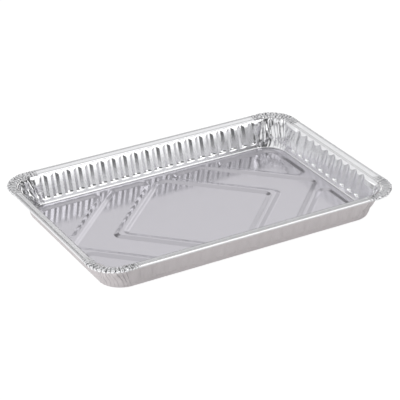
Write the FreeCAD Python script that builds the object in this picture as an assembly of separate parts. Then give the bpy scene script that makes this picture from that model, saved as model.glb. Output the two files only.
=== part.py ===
import FreeCAD, Part
import math
import os

from FreeCAD import Vector

# Aluminium foil tray, pressed in one piece from one sheet.
# Millimetres, Z up. The origin is under the middle of the tray, on the plane that it stands on.

# Overall size, measured over the rolled rim
overall_length = 324.0
overall_width = 223.0
overall_height = 31.8
sheet_thickness = 0.3

# Rim: an inner bend, a tilted flange, a small rise and a rolled bead
bend_tail = 0.4
bend_radius = 1.5
flange_width = 4.4
flange_tilt = 5.0
rise_radius = 0.8
rise_angle = 40.0
bead_radius = 1.6
bead_turn = 300.0
rim_corner_radius = 28.5
curve_step = 25.0

# Wall: leans out from the floor's crease, with a steeper bevel under the inner bend
wall_run = 8.2
base_corner_radius = 22.0
crease_radius = 0.6
bevel_height = 3.2
bevel_run = 1.75

# Flutes: trapezoid valleys pressed outwards between flat crests
flute_depth = 0.7
valley_width = 2.4
flute_side_run = 3.25
plain_band_height = 4.2
flute_ramp_height = 1.2
long_side_pitch = 12.55
short_side_pitch = 12.85

# Corner pleats: each corner turns in flat steps with a fold pressed outwards in each
pleats_per_corner = 9
pleat_depth = 0.9
pleat_start_share = 0.3

# Floor: seven sunken panels between raised ribs
emboss_depth = 1.45
border_width = 7.0
hexagon_border_width = 15.0
rib_flat_width = 3.0
panel_slope_run = 4.7
corner_panel_leg = 82.0
chevron_width = 35.2
panel_corner_radius = 4.0
chevron_notch_radius = 9.0

# Distance under which points count as one plane
flatness = 0.0001


def heading_vector(heading):
    """Unit vector in the rim's section plane, X outwards and Z up, from a heading in degrees."""
    return Vector(math.cos(math.radians(heading)), 0, math.sin(math.radians(heading)))


def turn_about(centre, point, turn):
    """Turns a point of the section plane anticlockwise about a centre, by degrees."""
    arm = point - centre
    cosine = math.cos(math.radians(turn))
    sine = math.sin(math.radians(turn))
    return centre + Vector(arm.x * cosine - arm.z * sine, 0, arm.x * sine + arm.z * cosine)


def bent_strip(heading, steps):
    """Both sides of the section of a bent sheet that starts at the origin, cut level there.

    Each step is a length and no angle, or a radius and an angle, positive to the left.
    Arcs are taken in flat steps. Returns the points of the left side and the right side."""
    level_cut = sheet_thickness / (2 * math.sin(math.radians(heading)))
    sides = {1: [Vector(-level_cut, 0, 0)], -1: [Vector(level_cut, 0, 0)]}
    middle = Vector(0, 0, 0)
    for size, angle in steps:
        if angle == 0.0:
            middle = middle + heading_vector(heading) * size
            for side in sides:
                offset = heading_vector(heading + 90.0) * (side * sheet_thickness / 2)
                sides[side].append(middle + offset)
            continue
        centre = middle + heading_vector(heading + 90.0) * math.copysign(size, angle)
        count = math.ceil(abs(angle) / curve_step)
        for number in range(count):
            middle = turn_about(centre, middle, angle / count)
            heading = heading + angle / count
            for side in sides:
                offset = heading_vector(heading + 90.0) * (side * sheet_thickness / 2)
                sides[side].append(middle + offset)
    return sides[1], sides[-1]


# Rim section, from the top of the wall to the end of the rolled bead
bevel_lean = math.degrees(math.atan2(bevel_height, bevel_run))
bead_middle_radius = bead_radius - sheet_thickness / 2
rim_steps = [
    (bend_tail, 0.0),
    (bend_radius, flange_tilt - bevel_lean),
    (flange_width, 0.0),
    (rise_radius, rise_angle),
    (bead_middle_radius, -bead_turn),
]
rim_left, rim_right = bent_strip(bevel_lean, rim_steps)
bevel_skin = sheet_thickness / math.sin(math.radians(bevel_lean))
rim_reach = max(point.x for point in rim_left) + bevel_skin / 2
rim_rise = max(point.z for point in rim_left)

# Derived levels and half sizes of the sheet's upper face
floor_level = emboss_depth + sheet_thickness
bend_level = overall_height - rim_rise
bevel_level = bend_level - bevel_height
bend_x = overall_length / 2 - rim_reach
bend_y = overall_width / 2 - rim_reach
bend_corner_radius = rim_corner_radius - rim_reach
base_x = bend_x - wall_run
base_y = bend_y - wall_run
crest_slope = (wall_run - bevel_run) / (bevel_level - floor_level)
wall_skin = sheet_thickness * math.sqrt(1.0 + crest_slope ** 2)


def crest_reach(level):
    """How far the crests' plane stands outside the floor's crease at a level."""
    return crest_slope * (level - floor_level)


def corner_radius_at(level):
    """Corner radius of the wall at a level, blended from the crease to the bend."""
    share = (level - floor_level) / (bend_level - floor_level)
    return base_corner_radius + (bend_corner_radius - base_corner_radius) * share


def flat_faces(points):
    """Flat faces inside a loop of points: one if they lie in a plane, otherwise triangles."""
    first = points[0]
    normal = (points[1] - first).cross(points[2] - first).normalize()
    if all(abs(normal.dot(point - first)) < flatness for point in points[3:]):
        return [Part.Face(Part.makePolygon([*points, first]))]
    fan = zip(points[1:-1], points[2:])
    return [Part.Face(Part.makePolygon([first, near, far, first])) for near, far in fan]


def band(lower, upper):
    """Ring of flat faces between two closed outlines that have the same number of points."""
    faces = []
    for number in range(len(lower)):
        near = number - 1
        faces.extend(flat_faces([lower[near], lower[number], upper[number], upper[near]]))
    return faces


def between(first, second, share):
    """Point at a share of the way between two points."""
    return first + (second - first) * share


def chance(number, seed):
    """Even spread of shares between 0 and 1, the same in every run."""
    return (number * (math.sqrt(5.0) - 1.0) / 2 + seed * math.sqrt(2.0)) % 1.0


def corner_points(half_x, half_y, radius, level):
    """Points round the corners of a rectangle, corner by corner, anticlockwise from +X +Y."""
    corners = []
    for number, (side_x, side_y) in enumerate(((1, 1), (-1, 1), (-1, -1), (1, -1))):
        centre = Vector(side_x * (half_x - radius), side_y * (half_y - radius), level)
        corner = []
        for step in range(pleats_per_corner + 1):
            angle = math.radians(90.0 * (number + step / pleats_per_corner))
            corner.append(centre + Vector(math.cos(angle), math.sin(angle), 0) * radius)
        corners.append(corner)
    return corners


def wall_points(level, reach, skin):
    """Corner points of the wall at a level, moved outwards by the sheet's thickness."""
    grow = reach + skin
    return corner_points(base_x + grow, base_y + grow, corner_radius_at(level) + skin, level)


def joined(corners):
    """Points of all corners in one closed outline."""
    return [point for corner in corners for point in corner]


def pleat(low, high, top, number, mirrored):
    """One flat step of a corner: a fold opens upwards from a point low on it, under the bevel.

    Low, high and top each hold the step's two end points at the crease, bevel and bend."""
    share = 0.35 + 0.3 * chance(number, 1)
    start_share = pleat_start_share * (0.5 + chance(number, 2))
    if mirrored:
        share = 1.0 - share
    start = between(between(*low, share), between(*high, share), start_share)
    along = (high[1] - high[0]).normalize()
    outward = Vector(along.y, -along.x, 0)
    depth = pleat_depth * (0.6 + 0.4 * chance(number, 3))
    fold = between(*high, share) + outward * depth
    loops = [
        (low[0], low[1], start),
        (low[0], start, high[0]),
        (start, fold, high[0]),
        (start, high[1], fold),
        (low[1], high[1], start),
        (high[0], fold, top[0]),
        (fold, top[1], top[0]),
        (fold, high[1], top[1]),
    ]
    return [Part.Face(Part.makePolygon([*loop, loop[0]])) for loop in loops]


def pleated_corners(low, high, top):
    """All corner steps between the crease, the bevel's foot and the bend."""
    faces = []
    for corner in range(4):
        for step in range(pleats_per_corner):
            ends = slice(step, step + 2)
            mirrored = corner % 2 == 1
            number = pleats_per_corner - 1 - step if mirrored else step
            rows = [rows[corner][ends] for rows in (low, high, top)]
            faces.extend(pleat(*rows, number, mirrored))
    return faces


def valley_places(straight, pitch):
    """Places of the valleys along one wall, where a crest stands in the middle."""
    half_valley = valley_width / 2 + flute_side_run
    pairs = int((straight - half_valley) / pitch + 0.5)
    return [(number - pairs + 0.5) * pitch for number in range(2 * pairs)]


def fluted_wall(half_size, pitch, skin, top_skin, low, high, top):
    """Straight wall that faces +Y, with a flat crest plane, a bevel plane and pressed valleys.

    Low, high and top each hold the wall's two end points, right and left, on those levels."""
    half_back = valley_width / 2
    half_foot = half_back + flute_side_run
    ramp_foot = floor_level + plain_band_height
    ramp_top = ramp_foot + flute_ramp_height
    bevel_slope = (bevel_run + top_skin - skin) / bevel_height
    rise = min(flute_depth / (bevel_slope - crest_slope), bevel_height * 0.9)
    crest_foot = half_size + crest_reach(ramp_foot) + skin
    crest = half_size + crest_reach(ramp_top) + skin
    crest_edge = half_size + crest_reach(bevel_level) + skin
    valley_edge = crest_edge + bevel_slope * rise
    height_share = (ramp_foot - low[0].z) / (high[0].z - low[0].z)
    straight = between(low[0], high[0], height_share).x
    crest_side = []
    bevel_side = []
    faces = []
    for place in valley_places(straight, pitch):
        rows = {}
        for side in (-1, 1):
            rows[side] = [
                Vector(place + side * half_back, crest_foot, ramp_foot),
                Vector(place + side * half_foot, crest, ramp_top),
                Vector(place + side * half_back, crest + flute_depth, ramp_top),
                Vector(place + side * half_back, valley_edge, bevel_level + rise),
                Vector(place + side * half_foot, crest_edge, bevel_level),
            ]
            foot, crest_low, back_low, back_high, crest_high = rows[side]
            faces.extend(flat_faces([foot, back_low, crest_low]))
            faces.extend(flat_faces([crest_low, back_low, back_high, crest_high]))
        left, right = rows[-1], rows[1]
        faces.extend(flat_faces([left[0], right[0], right[2], left[2]]))
        faces.extend(flat_faces([left[2], right[2], right[3], left[3]]))
        crest_side.extend([left[4], left[1], left[0], right[0], right[1], right[4]])
        bevel_side.extend([left[4], left[3], right[3], right[4]])
    crest_loop = [low[1], low[0], high[0], *reversed(crest_side), high[1]]
    bevel_loop = [high[1], *bevel_side, high[0], top[0], top[1]]
    faces.append(Part.Face(Part.makePolygon([*crest_loop, crest_loop[0]])))
    faces.append(Part.Face(Part.makePolygon([*bevel_loop, bevel_loop[0]])))
    return faces


def round_polygon(corners, grow, level):
    """Closed outline of a polygon with round corners, grown outwards by a distance.

    Each corner is x, y and its radius before growing. Corners run anticlockwise."""
    count = len(corners)
    arcs = []
    for number, (x, y, radius) in enumerate(corners):
        point = Vector(x, y, 0)
        before = Vector(*corners[number - 1][:2], 0)
        after = Vector(*corners[(number + 1) % count][:2], 0)
        back = (before - point).normalize()
        ahead = (after - point).normalize()
        half_angle = back.getAngle(ahead) / 2
        room = min((before - point).Length, (after - point).Length) * 0.49
        radius = min(radius, room * math.tan(half_angle))
        inward = (back + ahead).normalize()
        centre = point + inward * (radius / math.sin(half_angle))
        hollow = (ahead.cross(back)).z < 0
        grown = radius - grow if hollow else radius + grow
        start = centre + (point + back * (radius / math.tan(half_angle)) - centre) * (grown / radius)
        end = centre + (point + ahead * (radius / math.tan(half_angle)) - centre) * (grown / radius)
        middle = centre - inward * grown
        lift = Vector(0, 0, level)
        arcs.append((start + lift, middle + lift, end + lift))
    edges = []
    for number, (start, middle, end) in enumerate(arcs):
        edges.append(Part.Arc(start, middle, end).toShape())
        edges.append(Part.makeLine(end, arcs[(number + 1) % count][0]))
    return Part.Wire(edges)


def panel_outlines():
    """Bottom outlines of the panels: a hexagon, a chevron and a corner triangle to be repeated."""
    diagonal = math.sqrt(2.0)
    edge_x = base_x - border_width - panel_slope_run
    edge_y = base_y - border_width - panel_slope_run
    slope = panel_slope_run * diagonal
    rib = rib_flat_width * diagonal
    triangle_line = base_x + base_y - 2 * border_width - corner_panel_leg
    chevron_outside = triangle_line - rib - slope
    chevron_inside = chevron_outside + slope - chevron_width * diagonal + slope
    hexagon_line = chevron_inside - slope - rib - slope
    hexagon_y = base_y - hexagon_border_width - panel_slope_run
    corner_round = base_corner_radius - border_width - panel_slope_run
    soft = panel_corner_radius
    triangle_foot = triangle_line + slope
    triangle = [
        (edge_x, edge_y, corner_round),
        (triangle_foot - edge_y, edge_y, soft),
        (edge_x, triangle_foot - edge_x, soft),
    ]
    tip = [(chevron_outside, 0.0, soft)]
    if chevron_outside > edge_x:
        blunt = chevron_outside - edge_x
        tip = [(edge_x, -blunt, soft), (edge_x, blunt, soft)]
    middle = rib_flat_width / 2 + panel_slope_run
    arm_end = [(chevron_inside - edge_y, edge_y, soft)]
    if chevron_inside - edge_y < middle:
        arm_end = [(middle, edge_y, soft), (middle, chevron_inside - middle, soft)]
    chevron = [
        *[(x, -y, radius) for x, y, radius in reversed(arm_end)],
        (chevron_outside - edge_y, -edge_y, soft),
        *tip,
        (chevron_outside - edge_y, edge_y, soft),
        *arm_end,
        (chevron_inside, 0.0, chevron_notch_radius),
    ]
    point = [(0.0, hexagon_line, soft)]
    if hexagon_line > hexagon_y:
        blunt = hexagon_line - hexagon_y
        point = [(blunt, hexagon_y, soft), (-blunt, hexagon_y, soft)]
    half = [(hexagon_line, 0.0, soft), *point]
    hexagon = [*half, *[(-x, -y, radius) for x, y, radius in half]]
    return hexagon, chevron, triangle


def moved(shape, mirrored, half_turn):
    """Copy of a shape, mirrored across the middle of the length and turned about the middle."""
    copy = shape.mirror(Vector(0, 0, 0), Vector(1, 0, 0)) if mirrored else shape.copy()
    copy.rotate(Vector(0, 0, 0), Vector(0, 0, 1), half_turn)
    return copy


def embossed_floor(edge, level):
    """Floor inside its closed edge: a plane of ribs, and panels sunk in it with sloping sides."""
    hexagon, chevron, triangle = panel_outlines()
    places = [(hexagon, False, 0.0)]
    for half_turn in (0.0, 180.0):
        places.extend([(chevron, False, half_turn), (triangle, False, half_turn)])
        places.append((triangle, True, half_turn))
    faces = []
    openings = []
    for corners, mirrored, half_turn in places:
        bottom = moved(round_polygon(corners, 0.0, level - emboss_depth), mirrored, half_turn)
        rim = moved(round_polygon(corners, panel_slope_run, level), mirrored, half_turn)
        faces.append(Part.Face(bottom))
        faces.extend(Part.makeLoft([bottom, rim], False, True).Faces)
        openings.append(rim)
    ribs = Part.Face(Part.makePolygon([*edge, edge[0]]))
    for opening in openings:
        ribs = ribs.cut(Part.Face(opening))
    return [*faces, *ribs.Faces]


def pressed_side(drop, skin, top_skin):
    """One side of the pressed sheet up to the bend; the lower side has a drop and skins."""
    bottom = floor_level - drop
    inset = skin - crease_radius
    crease = corner_points(base_x + inset, base_y + inset, base_corner_radius + inset, bottom)
    low_level = bottom + crease_radius
    low = wall_points(low_level, crest_reach(low_level), skin)
    high = wall_points(bevel_level, wall_run - bevel_run, skin)
    top = wall_points(bend_level, wall_run, top_skin)
    faces = embossed_floor(joined(crease), bottom)
    faces.extend(band(joined(crease), joined(low)))
    faces.extend(pleated_corners(low, high, top))
    sides = [(base_y, long_side_pitch, 0.0), (base_x, short_side_pitch, 90.0)]
    for number, (half_size, pitch, turn) in enumerate(sides):
        rows = []
        for row in (low, high, top):
            ends = [row[number][-1], row[(number + 1) % 4][0]]
            rows.append([turned(point, -turn) for point in ends])
        wall = Part.makeCompound(fluted_wall(half_size, pitch, skin, top_skin, *rows))
        for half_turn in (0.0, 180.0):
            copy = wall.copy()
            copy.rotate(Vector(0, 0, 0), Vector(0, 0, 1), turn + half_turn)
            faces.extend(copy.Faces)
    return faces


def turned(point, turn):
    """Turns a point anticlockwise about the middle of the tray, by degrees."""
    cosine = math.cos(math.radians(turn))
    sine = math.sin(math.radians(turn))
    return Vector(point.x * cosine - point.y * sine, point.x * sine + point.y * cosine, point.z)


def rolled_rim():
    """Flange and rolled bead: the rim's section carried round the tray in the corners' steps."""
    section = [*rim_left, *reversed(rim_right)]
    rings = []
    for point in section:
        out = point.x + bevel_skin / 2
        radius = bend_corner_radius + out
        rings.append(joined(corner_points(bend_x + out, bend_y + out, radius, bend_level + point.z)))
    faces = []
    for inner, outer in zip(rings[:-1], rings[1:]):
        faces.extend(band(inner, outer))
    return faces


def foil_tray():
    """The whole tray: both sides of the pressed sheet, closed by the rolled rim."""
    upper = pressed_side(0.0, 0.0, 0.0)
    lower = pressed_side(sheet_thickness, wall_skin, bevel_skin)
    shell = Part.Compound([*upper, *lower, *rolled_rim()])
    shell.sewShape()
    solid = Part.Solid(shell.Shells[0])
    solid.fix(flatness, flatness, flatness)
    return solid


def main():
    """Builds the tray and writes its solid."""
    os.makedirs("parts", exist_ok=True)
    tray = foil_tray()
    box = tray.optimalBoundingBox()
    print("closed", tray.isClosed(), "valid", tray.isValid(), "volume", round(tray.Volume, 1))
    print("size", box.XLength, box.YLength, box.ZLength, "lowest", box.ZMin)
    tray.exportStep("parts/foil_tray.step")


main()
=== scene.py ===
"""Aluminium foil tray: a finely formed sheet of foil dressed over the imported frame.

Lengths are in millimetres in the classes below and become metres when a mesh is made.
"""
import logging
import math
from dataclasses import asdict, dataclass
from enum import Enum
from functools import cached_property
from typing import Any

import bpy
import numpy as np
from mathutils import Matrix, Vector
from mathutils.geometry import delaunay_2d_cdt

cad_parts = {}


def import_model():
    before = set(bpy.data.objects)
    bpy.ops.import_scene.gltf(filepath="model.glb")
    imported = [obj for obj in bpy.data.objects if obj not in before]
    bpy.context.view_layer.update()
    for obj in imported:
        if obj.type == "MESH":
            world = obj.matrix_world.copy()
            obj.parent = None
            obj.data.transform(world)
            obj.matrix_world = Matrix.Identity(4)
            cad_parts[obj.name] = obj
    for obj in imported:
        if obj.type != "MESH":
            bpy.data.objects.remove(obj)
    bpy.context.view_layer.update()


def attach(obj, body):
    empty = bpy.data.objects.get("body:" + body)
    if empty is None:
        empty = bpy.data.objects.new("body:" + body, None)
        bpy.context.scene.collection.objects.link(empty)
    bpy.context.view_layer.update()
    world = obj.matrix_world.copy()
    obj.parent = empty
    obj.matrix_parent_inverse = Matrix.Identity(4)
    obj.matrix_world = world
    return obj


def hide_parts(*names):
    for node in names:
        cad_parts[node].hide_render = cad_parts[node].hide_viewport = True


LOG = logging.getLogger("foil_tray")
MM = 0.001
Points = np.ndarray


class Side(Enum):
    """The four straight sides, numbered anticlockwise from the +X side."""

    RIGHT = 0
    FAR = 1
    LEFT = 2
    NEAR = 3

    @property
    def upright(self) -> bool:
        """Whether the side runs along Y, as the right and the left side do."""
        return self.value % 2 == 0

    @property
    def spin(self) -> Matrix:
        """Rotation in the plane that carries the right side to this one."""
        return Matrix.Rotation(math.pi / 2 * self.value, 2)


def linear(hex_colour: str) -> tuple[float, float, float, float]:
    """Turns an sRGB hex colour into linear values.

    Args:
        hex_colour: Six hexadecimal digits, such as "E8E8E8".

    Returns:
        Linear red, green, blue and an alpha of 1.
    """
    # The sRGB curve: a straight foot up to its knee, and a power above it.
    knee, foot, lift, power = 0.04045, 12.92, 0.055, 2.4
    channels = []
    for start in (0, 2, 4):
        value = int(hex_colour[start:start + 2], 16) / 255
        channels.append(value / foot if value <= knee else ((value + lift) / (1 + lift)) ** power)
    return (channels[0], channels[1], channels[2], 1.0)


def add(tree: Any, kind: str, inputs: dict[Any, Any] | None = None, **settings: Any) -> Any:
    """Adds one node to a tree with its settings, values and links.

    Args:
        tree: A shader or geometry node tree.
        kind: The node's type name.
        inputs: Values, sockets or nodes by input name or number. A node gives its first output.
        **settings: Properties of the node.

    Returns:
        The new node.
    """
    node = tree.nodes.new(kind)
    for name, value in settings.items():
        setattr(node, name, value)
    for key, value in (inputs or {}).items():
        socket = node.inputs[key]
        if isinstance(value, bpy.types.Node):
            tree.links.new(value.outputs[0], socket)
        elif isinstance(value, bpy.types.NodeSocket):
            tree.links.new(value, socket)
        else:
            socket.default_value = value
    return node


@dataclass(frozen=True)
class Sheet:
    """Sizes of the tray in millimetres, and the levels and reaches that follow from them.

    The sizes are the solid's. Only the crests lean a little more than there, by a wider bevel
    and a foot that is set in from the crease, as the light on them in the photograph asks.
    """

    length: float = 324.0
    width: float = 223.0
    height: float = 31.8
    thickness: float = 0.3
    bend_tail: float = 0.4
    bend_radius: float = 1.5
    flange_width: float = 4.4
    flange_tilt: float = 5.0
    rise_radius: float = 0.8
    rise_angle: float = 40.0
    bead_radius: float = 1.6
    bead_turn: float = 300.0
    rim_corner_radius: float = 28.5
    wall_run: float = 8.2
    base_corner_radius: float = 22.0
    bevel_height: float = 3.2
    bevel_run: float = 1.75
    leaning_bevel_run: float = 2.18
    crease_inset: float = 0.85
    emboss_depth: float = 1.45
    side_clearance: float = 0.01
    top_clearance: float = 0.005

    def rim_section(self) -> list[tuple[float, float, float, float]]:
        """Upper face of the rim's section, from the wall's top to the end of the bead.

        Returns:
            Rows of reach, rise, distance along the section and a flange weight.
        """
        heading = math.atan2(self.bevel_height, self.bevel_run)
        half = self.thickness / 2
        middle = Vector((0.0, 0.0))
        # Each bend or straight run: its radius or length, its turn and its number of steps.
        steps = [
            (self.bend_tail, 0.0, 1),
            (self.bend_radius, math.radians(self.flange_tilt) - heading, 5),
            (self.flange_width, 0.0, 6),
            (self.rise_radius, math.radians(self.rise_angle), 3),
            (self.bead_radius - half, -math.radians(self.bead_turn), 12),
        ]
        rows = [(-half / math.sin(heading), 0.0, 0.0, 0.0)]
        travelled = 0.0
        flange_number = 2
        for number, (size, angle, count) in enumerate(steps):
            for part in range(count):
                before = heading
                heading += angle / count
                step = size / count
                if angle != 0.0:
                    step = 2 * size * math.sin(abs(angle) / count / 2)
                middle_heading = (before + heading) / 2
                middle += Vector((math.cos(middle_heading), math.sin(middle_heading))) * step
                travelled += step
                face = middle + Vector((-math.sin(heading), math.cos(heading))) * half
                flange = 1.0 if number == flange_number and part < count - 1 else 0.0
                rows.append((face.x, face.y, travelled, flange))
        return rows

    @cached_property
    def bevel_skin(self) -> float:
        """Level thickness of the sheet in the bevel."""
        return self.thickness / math.sin(math.atan2(self.bevel_height, self.bevel_run))

    @cached_property
    def rim_reach(self) -> float:
        """Level distance from the bend line to the rim's outside."""
        section_reach = max(row[0] for row in self.rim_section())
        return section_reach + self.bevel_skin / 2 + self.side_clearance

    @cached_property
    def bend_level(self) -> float:
        """Level of the bend line under the flange."""
        return self.height - max(row[1] for row in self.rim_section()) - self.top_clearance

    @cached_property
    def bevel_level(self) -> float:
        """Level at which the bevel starts."""
        return self.bend_level - self.bevel_height

    @cached_property
    def floor_level(self) -> float:
        """Level of the upper face of the ribs and the border."""
        return self.emboss_depth + self.thickness

    @cached_property
    def bend_half(self) -> tuple[float, float]:
        """Half length and half width at the bend line."""
        return self.length / 2 - self.rim_reach, self.width / 2 - self.rim_reach

    @cached_property
    def base_half(self) -> tuple[float, float]:
        """Half length and half width at the crease."""
        half = self.bend_half
        return half[0] - self.wall_run, half[1] - self.wall_run

    @cached_property
    def bend_corner_radius(self) -> float:
        """Corner radius at the bend line."""
        return self.rim_corner_radius - self.rim_reach

    @cached_property
    def crest_slope(self) -> float:
        """Outward run of the crests' plane for each millimetre of height."""
        run = self.wall_run - self.leaning_bevel_run + self.crease_inset
        return run / (self.bevel_level - self.floor_level)

    def crest_reach(self, level: float) -> float:
        """How far the crests' plane stands outside the crease at a level."""
        return self.crest_slope * (level - self.floor_level) - self.crease_inset

    def bevel_reach(self, level: float) -> float:
        """How far the bevel's plane stands outside the crease at a level."""
        below = (self.bend_level - level) / self.bevel_height
        return self.wall_run - self.leaning_bevel_run * below

    def corner_radius(self, level: float) -> float:
        """Corner radius of the wall, which widens from the crease to the bend.

        Args:
            level: The level in millimetres.

        Returns:
            The radius in millimetres.
        """
        share = (level - self.floor_level) / (self.bend_level - self.floor_level)
        growth = self.bend_corner_radius - self.base_corner_radius
        return self.base_corner_radius + growth * share


def gather_weight(points: Points, sheet: Sheet) -> Points:
    """How strongly the foil is gathered at each point: 1 in the corners and 0 along the sides.

    Args:
        points: Positions in millimetres.
        sheet: The tray's sizes.

    Returns:
        One weight for each point.
    """
    lead = 3.0
    fade = 9.0
    fade_height = 8.0
    start_x = sheet.base_half[0] - sheet.base_corner_radius
    start_y = sheet.base_half[1] - sheet.base_corner_radius
    over_x = np.clip((np.abs(points[:, 0]) - start_x + lead) / fade, 0.0, 1.0)
    over_y = np.clip((np.abs(points[:, 1]) - start_y + lead) / fade, 0.0, 1.0)
    height = np.clip((points[:, 2] - sheet.floor_level) / fade_height, 0.0, 1.0)
    share = over_x * over_y * height
    return share * share * (3.0 - 2.0 * share)


@dataclass(frozen=True)
class Crumpling:
    """How strongly and how finely formed foil is crumpled, in millimetres.

    Long spans wander and are faintly dented; gathered foil in the corners also bulges and
    folds into facets with sharp creases between them.
    """

    wander_height: float = 0.06
    wander_size: float = 45.0
    dent_height: float = 0.014
    dent_size: float = 11.0
    gather_height: float = 0.45
    gather_size: float = 8.0
    crease_height: float = 2.8
    crease_size: float = 7.0

    def inputs(self) -> dict[str, float]:
        """The sizes in metres, by the names of the crumpling tree's inputs."""
        sizes = asdict(self)
        return {name.replace("_", " ").title(): size * MM for name, size in sizes.items()}


class FoilForming:
    """Geometry node trees that press the flutes and pleats and crumple the foil."""

    def __init__(self) -> None:
        """Builds the group that every tree of the foil ends in."""
        self.crumple = self.crumple_group()

    @staticmethod
    def new_tree(name: str, inputs: dict[str, tuple[str, Any]]) -> Any:
        """Makes a geometry tree with named inputs and one geometry output.

        Args:
            name: The tree's name.
            inputs: Socket type and default value by input name.

        Returns:
            The tree.
        """
        tree = bpy.data.node_groups.new(name, "GeometryNodeTree")
        tree.interface.new_socket("Geometry", in_out="INPUT", socket_type="NodeSocketGeometry")
        for label, (kind, default) in inputs.items():
            socket = tree.interface.new_socket(label, in_out="INPUT", socket_type=kind)
            if default is not None:
                socket.default_value = default
        tree.interface.new_socket("Geometry", in_out="OUTPUT", socket_type="NodeSocketGeometry")
        return tree

    @staticmethod
    def read(tree: Any, *names: str, kind: str = "FLOAT") -> dict[str, Any]:
        """Adds nodes that read a mesh's own measures.

        Args:
            tree: The tree that reads.
            names: The attributes' names.
            kind: The attributes' data type.

        Returns:
            The nodes by name.
        """
        return {
            name: add(tree, "GeometryNodeInputNamedAttribute", {"Name": name}, data_type=kind)
            for name in names
        }

    def crumple_group(self) -> Any:
        """Builds the group that crumples gathered foil and lets long spans wander.

        Returns:
            A tree that moves points by fields of their position, so that neighbours stay joined.
        """
        inputs = {
            label: ("NodeSocketFloat", size) for label, size in Crumpling().inputs().items()}
        tree = self.new_tree("Crumpled Foil", {**inputs, "Seed": ("NodeSocketFloat", 3.0)})
        source = add(tree, "NodeGroupInput")
        place = add(tree, "GeometryNodeInputPosition")
        read = self.read(tree, "gather", "loose")
        # Noise stays within about a quarter of its middle, so this brings it to a full height.
        noise_gain = 4.0
        even = (1.0, 1.0, 1.0)
        upright = (1.0, 1.0, 0.3)
        moves = []
        for label, weight, detail, stretch in (
            ("Wander", "loose", 1.0, even),
            ("Dent", "loose", 2.0, even),
            ("Gather", "gather", 3.0, upright),
        ):
            scale = add(tree, "ShaderNodeMath", {0: 1.0, 1: source.outputs[f"{label} Size"]},
                        operation="DIVIDE")
            drawn = add(tree, "ShaderNodeVectorMath", {0: place, 1: stretch},
                        operation="MULTIPLY")
            noise = add(tree, "ShaderNodeTexNoise", {
                "Vector": drawn, "W": source.outputs["Seed"], "Scale": scale, "Detail": detail,
            }, noise_dimensions="4D")
            centred = add(tree, "ShaderNodeVectorMath", {
                0: noise.outputs["Color"], 1: (0.5, 0.5, 0.5)}, operation="SUBTRACT")
            height = add(tree, "ShaderNodeMath", {
                0: source.outputs[f"{label} Height"], 1: read[weight].outputs["Attribute"],
            }, operation="MULTIPLY")
            full = add(tree, "ShaderNodeMath", {0: height, 1: noise_gain}, operation="MULTIPLY")
            moves.append(add(tree, "ShaderNodeVectorMath", {0: centred, "Scale": full},
                             operation="SCALE"))
        moves.append(self.creases(tree, source, place, read["gather"]))
        total = moves[0]
        for move in moves[1:]:
            total = add(tree, "ShaderNodeVectorMath", {0: total, 1: move}, operation="ADD")
        moved = add(tree, "GeometryNodeSetPosition", {
            "Geometry": source.outputs["Geometry"], "Offset": total})
        add(tree, "NodeGroupOutput", {0: moved})
        return tree

    @staticmethod
    def creases(tree: Any, source: Any, place: Any, gather: Any) -> Any:
        """Adds sharp creases between the facets of gathered foil.

        Args:
            tree: The crumpling tree.
            source: Its group input node.
            place: The node that gives positions.
            gather: The node that reads how far the foil is gathered.

        Returns:
            A node that gives the offset of each point along its normal.
        """
        upright = (1.0, 1.0, 0.38)
        middle_distance = 0.45
        scale = add(tree, "ShaderNodeMath", {0: 1.0, 1: source.outputs["Crease Size"]},
                    operation="DIVIDE")
        drawn = add(tree, "ShaderNodeVectorMath", {0: place, 1: upright}, operation="MULTIPLY")
        facets = add(tree, "ShaderNodeTexVoronoi", {
            "Vector": drawn, "W": source.outputs["Seed"], "Scale": scale, "Detail": 1.0,
            "Roughness": 0.3}, voronoi_dimensions="4D")
        centred = add(tree, "ShaderNodeMath", {
            0: facets.outputs["Distance"], 1: middle_distance}, operation="SUBTRACT")
        height = add(tree, "ShaderNodeMath", {
            0: source.outputs["Crease Height"], 1: gather.outputs["Attribute"],
        }, operation="MULTIPLY")
        lift = add(tree, "ShaderNodeMath", {0: centred, 1: height}, operation="MULTIPLY")
        normal = add(tree, "GeometryNodeInputNormal")
        return add(tree, "ShaderNodeVectorMath", {0: normal, "Scale": lift}, operation="SCALE")

    def finish_tree(
        self, tree: Any, source: Any, geometry: Any, crumpling: Crumpling = Crumpling()
    ) -> None:
        """Ends a tree: crumpling, smooth faces, real instances and the foil's material.

        Args:
            tree: The tree to end.
            source: Its group input node.
            geometry: The node that gives the formed geometry.
            crumpling: How the foil is crumpled.
        """
        group = add(tree, "GeometryNodeGroup", node_tree=self.crumple)
        for label, value in crumpling.inputs().items():
            group.inputs[label].default_value = value
        tree.links.new(geometry.outputs[0], group.inputs["Geometry"])
        smooth = add(tree, "GeometryNodeSetShadeSmooth", {0: group})
        folded = self.sharp_edges(tree, smooth)
        real = add(tree, "GeometryNodeRealizeInstances", {0: folded})
        dressed = add(tree, "GeometryNodeSetMaterial", {
            0: real, "Material": source.outputs["Material"]})
        add(tree, "NodeGroupOutput", {0: dressed})

    def sharp_edges(self, tree: Any, geometry: Any) -> Any:
        """Keeps the folds sharp along the columns and rows that are marked as crisp.

        Args:
            tree: The tree to add to.
            geometry: The node that gives the smooth geometry.

        Returns:
            The node that gives the geometry with sharp folds.
        """
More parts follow.
